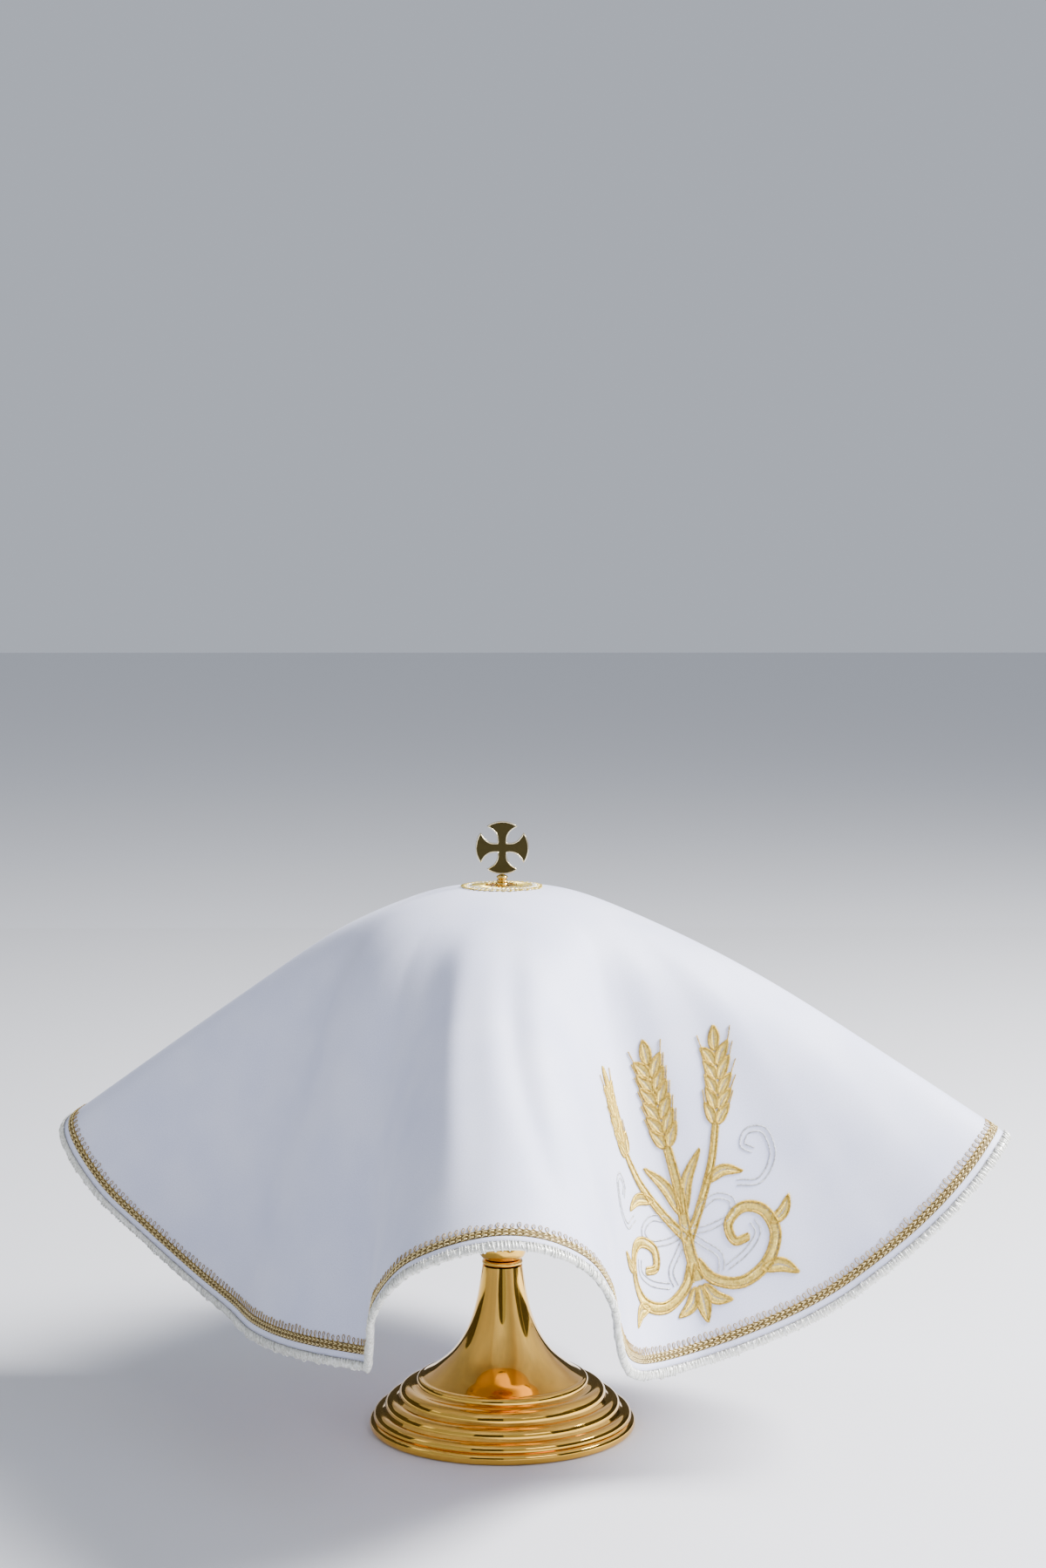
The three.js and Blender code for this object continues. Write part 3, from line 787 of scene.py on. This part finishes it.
MIDDLE_EAR = {"path": [(0, 12), (0, 30), (0, 50)], "pairs": 6, "length": 11, "width": 4.8}
SIDE_STEM = {"path": [(0, -30), (9, -16), (18, 0), (24, 15)], "widths": (3.2, 2.6)}
SIDE_EAR = {"path": [(24, 15), (29, 30), (31.5, 46)], "pairs": 5, "length": 10, "width": 4.4}
SCROLL = {
    "path": [(1, -39), (7, -49), (19, -54), (32, -49), (39, -38), (36, -27), (27, -23),
             (19, -28), (20, -36), (27, -36)],
    "widths": (3.4, 2.6),
    "swell": 1.6,
}
LEAVES = [
    ((29, -51), (45, -57), 5.5, 2.5),
    ((38, -33), (49, -24), 4.6, -2),
    ((2, -50), (13, -60), 5, -2.5),
    ((13, -8), (31, -8), 4.4, 3),
    ((1, -18), (14, 7), 4.6, 2.6),
]
BASE_LEAF = ((0, -50), (0, -66), 6, 0)
RIBBONS = [
    [(0, -26), (7, -19), (16, -15), (23, -19), (20, -25), (10, -27), (0, -26)],
    [(0, -26), (6, -33), (12, -40), (11, -47)],
    [(14, -46), (24, -42), (31, -36), (30, -30)],
    [(27, -12), (38, -14), (46, -6), (45, 5), (38, 8), (34, 3), (38, -1)],
]
RIBBON_WIDTH = 2.4
RIBBON_CORD = 0.8
CURVE_SAMPLES = 14
DIRECTION_REACH = 0.4


def on_cloth(places):
    """Turn and radius on the flat cloth of places beside the spray's middle."""
    across, inward = places[:, 0], SPRAY_RADIUS - places[:, 1]
    return np.column_stack([SPRAY_TURN + np.arctan2(across, inward), np.hypot(inward, across)])


def open_curve(points, samples=CURVE_SAMPLES):
    """A smooth open curve through points."""
    p = np.asarray(points, float)
    p = np.vstack([2 * p[0] - p[1], p, 2 * p[-1] - p[-2]])
    t = (np.arange(samples) / samples)[None, :, None]
    p0, p1, p2, p3 = (p[k:len(p) - 3 + k, None] for k in range(4))
    rows = 2 * p1 + (p2 - p0) * t + (2 * p0 - 5 * p1 + 4 * p2 - p3) * t ** 2
    rows = (rows + (3 * p1 - p0 - 3 * p2 + p3) * t ** 3) / 2
    return np.vstack([rows.reshape(-1, p.shape[1]), p[-2]])


def evenly(path, pitch):
    """Places along a path at an even pitch, the directions along and across it, and the
    share of its length done at each."""
    path = np.asarray(path, float)
    length = np.concatenate([[0], np.cumsum(np.linalg.norm(np.diff(path, axis=0), axis=1))])

    def at(distance):
        return np.column_stack([np.interp(distance, length, path[:, k]) for k in range(2)])

    want = np.arange(pitch / 2, length[-1], pitch)
    along = at(want + DIRECTION_REACH) - at(want - DIRECTION_REACH)
    along /= np.maximum(np.linalg.norm(along, axis=1, keepdims=True), 1e-9)
    across = np.column_stack([-along[:, 1], along[:, 0]])
    return at(want), along, across, (want / length[-1])[:, None]


class Needlework:
    """All stitches of one thread on the embroidered spray."""

    def __init__(self, width, rise, height):
        self.width = width
        self.rise = rise
        self.height = height
        self.starts = []
        self.ends = []

    def sew(self, starts, ends):
        self.starts.append(starts + random.normal(0, NEEDLE_WOBBLE, starts.shape))
        self.ends.append(ends + random.normal(0, NEEDLE_WOBBLE, ends.shape))

    def cord(self, path, width=CORD_WIDTH):
        """A corded line: slanted stitches side by side along a path."""
        place, along, across, _ = evenly(path, CORD_PITCH)
        reach = across * width / 2 + along * width * CORD_SLANT
        self.sew(place - reach, place + reach)

    def piece(self, name, material, slot):
        start = on_cloth(np.vstack(self.starts))
        end = on_cloth(np.vstack(self.ends))
        section = (self.width, self.rise, self.height)
        shape = stitches(start, end, *section, NEEDLE_STEPS, NEEDLE_SIDES)
        new_piece(name, shape, material)


class Spray:
    """Wheat ears, leaves and scrolls in corded gold over a paler fill, with silver ribbons."""

    def __init__(self):
        self.gold = Needlework(width=0.56, rise=0.34, height=0.5)
        self.fill = Needlework(width=0.6, rise=0.2, height=0.28)
        self.silver = Needlework(width=0.42, rise=0.2, height=0.3)

    def band(self, path, widths, swell=0.0):
        """A stem or scroll that goes from one width to another, with cords on both edges."""
        place, along, across, share = evenly(open_curve(path), FILL_PITCH)
        half = (widths[0] + (widths[1] - widths[0]) * share + swell * np.sin(share * math.pi)) / 2
        self.fill.sew(place - across * half, place + across * half + along * FILL_SLANT)
        for side in (-1, 1):
            self.gold.cord(place + across * half * side)

    def leaf(self, base, tip, width, bow=0.0):
        """A leaf or grain, filled from its middle line to both edges."""
        base, tip = np.array(base, float), np.array(tip, float)
        sideways = np.array([base[1] - tip[1], tip[0] - base[0]]) / np.linalg.norm(tip - base)
        centre = open_curve([base, (base + tip) / 2 + sideways * bow, tip])
        place, along, across, share = evenly(centre, FILL_PITCH)
        half = width / 2 * np.sin(math.pi * share ** LEAF_BULGE) ** LEAF_BULGE
        for side in (-1, 1):
            edge = place + across * half * side
            self.fill.sew(place - along * LEAF_ROOT_SLANT, edge + along * LEAF_EDGE_SLANT)
            self.gold.cord(np.vstack([base, edge, tip]))

    def ear(self, path, pairs, length, width):
        """A wheat ear: pairs of grains with awns, and one grain at its end."""
        place, along, across, _ = evenly(open_curve(path), FILL_PITCH)
        last = len(place) - 1
        for k in range(pairs):
            at = round(last * k / pairs)
            for side in (-1, 1):
                lean = along[at] * math.cos(EAR_LEAN)
                lean = lean + across[at] * side * math.sin(EAR_LEAN)
                base = place[at] + across[at] * side * EAR_OFFSET
                tip = base + lean * length
                self.leaf(base, tip, width, bow=EAR_BOW * side)
                spread = along[at] * AWN["forward"] + across[at] * side * AWN["spread"]
                self.gold.cord([tip, tip + spread * AWN["length"]], AWN["width"])
        self.leaf(place[last], place[last] + along[last] * length, width)

    def ribbon(self, path):
        place, _, across, _ = evenly(open_curve(path), CORD_PITCH)
        for side in (-1, 1):
            self.silver.cord(place + across * RIBBON_WIDTH / 2 * side, RIBBON_CORD)

    def sew(self):
        self.band(**STEM)
        self.ear(**MIDDLE_EAR)
        self.leaf(*BASE_LEAF)
        for mirror in (-1, 1):

            def mirrored(path):
                return [(x * mirror, y) for x, y in path]

            for band in (SIDE_STEM, SCROLL):
                self.band(**{**band, "path": mirrored(band["path"])})
            self.ear(**{**SIDE_EAR, "path": mirrored(SIDE_EAR["path"])})
            for base, tip, width, bow in LEAVES:
                self.leaf(*mirrored([base, tip]), width, bow * mirror)
            for path in RIBBONS:
                self.ribbon(mirrored(path))
        self.gold.piece("spray_gold_cords", GOLD_THREAD, "gold_thread")
        self.fill.piece("spray_gold_fill", GOLD_FILL, "gold_thread")
        self.silver.piece("spray_silver_ribbons", SILVER_THREAD, "lurex")


class Outline:
    """Half outline of a turned piece, as (radius, height) points in millimetres."""

    def __init__(self, radius, height):
        self.points = [(radius, height)]

    def line(self, radius, height):
        self.points.append((radius, height))
        return self

    def curve(self, *controls, steps=12):
        """A Bezier curve from the last point through two or three control points."""
        p = [np.array(self.points[-1], float)] + [np.array(c, float) for c in controls]
        degree = len(p) - 1
        for t in np.linspace(0, 1, steps + 1)[1:]:
            weights = [math.comb(degree, k) * (1 - t) ** (degree - k) * t ** k
                       for k in range(degree + 1)]
            self.points.append(tuple(sum(w * q for w, q in zip(weights, p))))
        return self

    def spline(self, points, samples=8):
        """A smooth curve on through the given points."""
        path = open_curve([self.points[-1], *points], samples)
        self.points += [tuple(p) for p in path[1:]]
        return self


def turned(outline):
    """Points and faces of an outline carried round the axis."""
    steps = TURNED_STEPS
    profile = [p for k, p in enumerate(outline.points) if k == 0 or p != outline.points[k - 1]]
    angle = np.arange(steps) / steps * TAU
    points = []
    rings = []
    for r, z in profile:
        if r < 1e-6:
            rings.append([len(points)])
            points.append((0, 0, z))
        else:
            rings.append(list(range(len(points), len(points) + steps)))
            points += [(r * math.cos(a), r * math.sin(a), z) for a in angle]
    faces = []
    for low, high in zip(rings, rings[1:]):
        for k in range(steps):
            n = (k + 1) % steps
            if len(low) == 1:
                faces.append([low[0], high[n], high[k]])
            elif len(high) == 1:
                faces.append([low[k], low[n], high[0]])
            else:
                faces.append([low[k], low[n], high[n], high[k]])
    return points, faces


TURNED_STEPS = 160
TURNED_SHARP = 32
CROSS_SHARP = 30

# The ciborium, from the floor up, as radii and heights. Curves go through control points. A
# step of the foot has its radius, its height, its rise and its run inwards. A bead of the
# finial has its bulge's and its neck's radius, and its top over the finial's bottom.
FOOT_UNDER = (60.6, 0.02)
FOOT_ROLL = [
    [(61.9, 0.2), (62.5, 1.3), (62.5, 2.5)],
    [(62.5, 4.2), (61.6, 5), (60.2, 5)],
]
FOOT_STEPS = [
    (60.6, 5.6, 3.6, 4.4),
    (55.2, 10.2, 4.4, 5.4),
    (48.6, 15.6, 5, 6.4),
    (40.4, 21.6, 2.8, 2.2),
]
TRUMPET = [(31.5, 28.6), (23.2, 36), (16.6, 46.5), (12.2, 60), (9.4, 77)]
COLLAR = {"radius": 9.6, "bottom": 77.3, "height": 2.6}
KNOP = {"radius": 11.3, "bottom": 80.2, "height": 10}
BEAD_FLAT = 8
BEAD_CURVE_STEPS = 20
CUP_BOTTOM = 90.5
CUP_STEM = [(9, 0), (10, 4)]
CUP_OUTSIDE = 60
CUP_INSIDE = 58
CUP_TOP = 205
BOWL_HEIGHT = 62
BOWL_BELLY = 37.8
BOWL_OUTSIDE = {"low": 6, "pull": 34}
BOWL_INSIDE = {"low": 9, "pull": 32, "bottom": 7}
BOWL_CURVE_STEPS = 28
LID_BOTTOM = 205.3
LID_TOP = VEIL_TOP - OUTER_FACE - 0.6
LID_CEILING = LID_TOP - 2
LID_UNDER_DOME = [(33.6, LID_CEILING), (48, 240)]
LID_UNDER_KNEE = [(57, 234), (CUP_INSIDE, 215)]
LID_RIM = {"radius": 62.5, "height": 3.4, "slope": 5}
LID_WALL_TOP = 216
LID_KNEE = [(CUP_OUTSIDE, 233), (54, 240)]
LID_DOME_RADII = range(42, 4, -2)
FINIAL_BOTTOM = LID_TOP + 0.3
FINIAL_BEADS = [(4.4, 2.4, 2.4), (3.4, 2, 4), (3, 1.6, 5.2), (3.4, 1.2, 7.4)]
FINIAL_TOP = FINIAL_BOTTOM + FINIAL_BEADS[-1][-1]
FINIAL_PULL = 0.5
CROSS_RADIUS = 12.2
CROSS_THICKNESS = 1.6
CROSS_HEART = 2 * math.sqrt(2)
CROSS_BEND = 7.6
CROSS_WAIST = math.radians(8)
CROSS_FLARE = math.radians(34)
CROSS_GAP = 0.3
CROSS_BEVEL = {"share": 0.975, "depth": 0.3}
CROSS_HIGHLIGHT_RIM = {"share": 0.985, "half_width": 0.28, "half_height": 0.22}


def foot_outline():
    outline = Outline(0, FOOT_UNDER[1]).line(*FOOT_UNDER)
    for controls in FOOT_ROLL:
        outline.curve(*controls)
    for radius, height, rise, run in FOOT_STEPS:
        top = height + rise
        outline.line(radius, height)
        outline.curve((radius, top), (radius - run, top))
    return outline.spline(TRUMPET).line(0, TRUMPET[-1][1])


def bead_outline(radius, bottom, height):
    """A ring or knop with a round side and flat ends."""
    pull = radius + (radius - BEAD_FLAT) / 3
    top = bottom + height
    outline = Outline(0, bottom).line(BEAD_FLAT, bottom)
    outline.curve((pull, bottom), (pull, top), (BEAD_FLAT, top), steps=BEAD_CURVE_STEPS)
    return outline.line(0, top)


def cup_outline():
    bottom = CUP_BOTTOM
    shoulder = bottom + BOWL_HEIGHT
    outline = Outline(0, bottom)
    for radius, height in CUP_STEM:
        outline.line(radius, bottom + height)
    low, pull = (BOWL_BELLY, bottom + BOWL_OUTSIDE["low"]), shoulder - BOWL_OUTSIDE["pull"]
    outline.curve(low, (CUP_OUTSIDE, pull), (CUP_OUTSIDE, shoulder), steps=BOWL_CURVE_STEPS)
    outline.line(CUP_OUTSIDE, CUP_TOP).line(CUP_INSIDE, CUP_TOP).line(CUP_INSIDE, shoulder)
    low, pull = (BOWL_BELLY, bottom + BOWL_INSIDE["low"]), shoulder - BOWL_INSIDE["pull"]
    floor = (0, bottom + BOWL_INSIDE["bottom"])
    return outline.curve((CUP_INSIDE, pull), low, floor, steps=BOWL_CURVE_STEPS)


def lid_outline():
    """The lid's dome has the slope of the cloth's threads, which lie on it."""
    bottom, rim = LID_BOTTOM, LID_RIM["radius"]
    dome = threads(np.array([DOME_SLOPE]), np.array([DOME_END]), np.array([0]))
    dome = [(dome[0][0, r], LID_TOP - dome[1][0, r]) for r in LID_DOME_RADII]
    outline = Outline(0, LID_CEILING).curve(*LID_UNDER_DOME).curve(*LID_UNDER_KNEE)
    outline.line(CUP_INSIDE, bottom).line(rim, bottom).line(rim, bottom + LID_RIM["height"])
    outline.line(CUP_OUTSIDE, bottom + LID_RIM["slope"]).line(CUP_OUTSIDE, LID_WALL_TOP)
    outline.curve(*LID_KNEE, dome[0])
    for place in dome[1:]:
        outline.line(*place)
    return outline.line(0, LID_TOP)


def finial_outline():
    outline = Outline(0, FINIAL_BOTTOM).line(FINIAL_BEADS[0][0], FINIAL_BOTTOM)
    below = 0
    for bulge, neck, top in FINIAL_BEADS:
        middle = FINIAL_BOTTOM + (below + top) / 2
        outline.curve((bulge + FINIAL_PULL, middle), (neck, FINIAL_BOTTOM + top))
        below = top
    return outline.line(0, FINIAL_TOP)


def cross_points():
    """The flat cross seen face on, as (x, z) from its heart."""
    points = []
    for arm in range(4):
        turn = arm * math.pi / 2

        def at(radius, angle):
            return np.array([radius * math.cos(turn + angle), radius * math.sin(turn + angle)])

        def bend(a, b, c, steps=10):
            share = np.arange(steps) / steps
            return [a * (1 - t) ** 2 + 2 * b * t * (1 - t) + c * t * t for t in share]

        side = [(CROSS_HEART, math.pi / 4), (CROSS_BEND, CROSS_WAIST), (CROSS_RADIUS, CROSS_FLARE)]
        points += bend(*(at(radius, -angle) for radius, angle in side))
        points += [at(CROSS_RADIUS, a) for a in np.linspace(-CROSS_FLARE, CROSS_FLARE, 14)[:-1]]
        points += bend(*(at(radius, angle) for radius, angle in side[::-1]))
    return np.array(points)


def finial_cross():
    """The cross plate, its near-black gilt painting dark reflections, with a fine bright bead round
    its edge whose pale gilt paints the edge highlights.
    """
    face = cross_points()
    middle = FINIAL_TOP + CROSS_GAP + CROSS_RADIUS
    half = CROSS_THICKNESS / 2
    inset, bevel = CROSS_BEVEL["share"], CROSS_BEVEL["depth"]
    rings = [(inset, -half), (1, -half + bevel), (1, half - bevel), (inset, half)]
    points = [(x * s, y, z * s + middle) for s, y in rings for x, z in face]
    count = len(face)
    faces = []
    for ring in range(len(rings) - 1):
        for k in range(count):
            n = (k + 1) % count
            near, far = ring * count, (ring + 1) * count
            faces.append([far + k, far + n, near + n, near + k])
    faces.append(list(range(count)))
    faces.append([3 * count + k for k in range(count)][::-1])
    shape = (points, faces)
    plate = new_piece("finial_cross_plate", shape, DARK_REFLECTION_GILT, sharp=CROSS_SHARP)
    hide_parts("finial_cross")
    highlight_rims = []
    edge = face * CROSS_HIGHLIGHT_RIM["share"]
    section = (CROSS_HIGHLIGHT_RIM["half_width"], CROSS_HIGHLIGHT_RIM["half_height"])
    for side in (-1, 1):
        path = np.column_stack([edge[:, 0], np.full(count, side * half), edge[:, 1] + middle])
        up = np.tile((0.0, side, 0.0), (count, 1))
        highlight_rims.append(strands(path[None], up[None], *section, closed=True))
    new_piece("finial_cross_highlight_rim", joined(highlight_rims), EDGE_HIGHLIGHT_GILT)


def ciborium():
    turned_pieces = [
        ("foot_turned", foot_outline(), GILT, "ciborium_foot"),
        ("collar_turned", bead_outline(**COLLAR), GILT, "ciborium_collar"),
        ("knop_turned", bead_outline(**KNOP), GILT, "ciborium_knop"),
        ("cup_turned", cup_outline(), GILT, "ciborium_cup"),
        ("lid_turned", lid_outline(), GILT, "ciborium_lid"),
        ("finial_turned", finial_outline(), FINIAL_HIGHLIGHT_GILT, "finial_shaft"),
    ]
    for name, outline, material, node in turned_pieces:
        piece = new_piece(name, turned(outline), material, sharp=TURNED_SHARP)
        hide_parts(node)


satin = veil_satin()
edge = new_piece("hem_edging_overlock", edging(), LUREX)
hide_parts("hem_edging")
paint_shadow_line()
hem_braid()
hole_braid()
Spray().sew()
ciborium()
finial_cross()


# Lamps and cards stand at an azimuth from the front towards +X. Distances are in metres. A
# lamp has its name, azimuth, elevation, size, power and colour.
LAMPS = [
    ("key", 90, 40, 0.8, 198, (0.98, 0.98, 1)),
    ("front", 35, 30, 0.9, 10, (1, 0.98, 0.96)),
    ("fill", -90, 30, 1.2, 6, (0.9, 0.95, 1)),
]
LAMP_DISTANCE = 2.0
LAMP_AIM = (0, 0, 0.17)
SKY_COLOUR = (0.82, 0.88, 1, 1)
SKY_STRENGTH = 0.58
FLOOR_SIZE = 16
FLOOR_PLACE = (0, 2, 0)
FLOOR_COLOUR = (0.72, 0.72, 0.74, 1)
FLOOR_ROUGHNESS = 0.6
FLAG_COLOUR = (0.02, 0.018, 0.01, 1)

# Dark cards that only the gilt's reflections see: name, azimuth, distance, width and height.
FLAGS = [
    ("flag_back", 180, 1.8, 4.4, 1.2),
    ("flag_left", -118, 1.5, 1.9, 1.0),
    ("flag_right", 118, 1.5, 1.9, 1.0),
    ("flag_front_left", -13, 1.7, 0.85, 0.9),
    ("flag_front_right", 66, 1.7, 1.1, 1.0),
]

# The camera, and the height of the picture and its focal length in pixels.
CAMERA_PLACE = (0, -1.35, 0.4127)
CAMERA_PITCH = math.radians(4.65)
CAMERA_YAW = math.radians(0.41)
PICTURE_HEIGHT = 1799
FOCAL_PIXELS = 3360
SENSOR_HEIGHT = 36


def around(azimuth, elevation, distance, middle):
    """A place at an azimuth and elevation in degrees and a distance from the middle."""
    a, e = math.radians(azimuth), math.radians(elevation)
    way = Vector((math.sin(a) * math.cos(e), -math.cos(a) * math.cos(e), math.sin(e)))
    return Vector(middle) + way * distance


def facing(place, target):
    """The rotation that turns a lamp or card at a place to its target."""
    return (Vector(target) - place).to_track_quat("-Z", "Y").to_euler()


def stage_plane(name, size, place, material):
    bpy.ops.mesh.primitive_plane_add(size=size, location=place)
    plane = bpy.context.object
    plane.name = name
    plane.data.materials.append(material)
    return plane


def floor_and_light():
    pale, _, shader = node_tree("floor_pale")
    set_inputs(shader, {"Base Color": FLOOR_COLOUR, "Roughness": FLOOR_ROUGHNESS})
    stage_plane("floor", FLOOR_SIZE, FLOOR_PLACE, pale)
    dark, _, shader = node_tree("flag_dark")
    set_inputs(shader, {"Base Color": FLAG_COLOUR, "Roughness": 1})
    for name, azimuth, distance, width, height in FLAGS:
        middle = (0, 0, height / 2)
        place = around(azimuth, 0, distance, middle)
        card = stage_plane(name, 1, place, dark)
        card.rotation_euler = facing(place, middle)
        card.scale = (width, height, 1)
        card.visible_camera = False
        card.visible_diffuse = False
        card.visible_shadow = False
        card.visible_transmission = False
    world = bpy.data.worlds.new("studio")
    bpy.context.scene.world = world
    world.use_nodes = True
    sky = world.node_tree.nodes["Background"]
    set_inputs(sky, {"Color": SKY_COLOUR, "Strength": SKY_STRENGTH})
    for name, azimuth, elevation, size, power, colour in LAMPS:
        light = bpy.data.lights.new(name, "AREA")
        light.size = size
        light.energy = power
        light.color = colour
        holder = bpy.data.objects.new(name, light)
        place = around(azimuth, elevation, LAMP_DISTANCE, LAMP_AIM)
        holder.location = place
        holder.rotation_euler = facing(place, LAMP_AIM)
        bpy.context.scene.collection.objects.link(holder)


def camera():
    data = bpy.data.cameras.new("camera")
    data.sensor_fit = "VERTICAL"
    data.sensor_height = SENSOR_HEIGHT
    data.lens = FOCAL_PIXELS / PICTURE_HEIGHT * SENSOR_HEIGHT
    data.clip_start = 0.05
    holder = bpy.data.objects.new("camera", data)
    holder.location = CAMERA_PLACE
    holder.rotation_euler = (math.pi / 2 - CAMERA_PITCH, 0, -CAMERA_YAW)
    bpy.context.scene.collection.objects.link(holder)
    bpy.context.scene.camera = holder


floor_and_light()
camera()
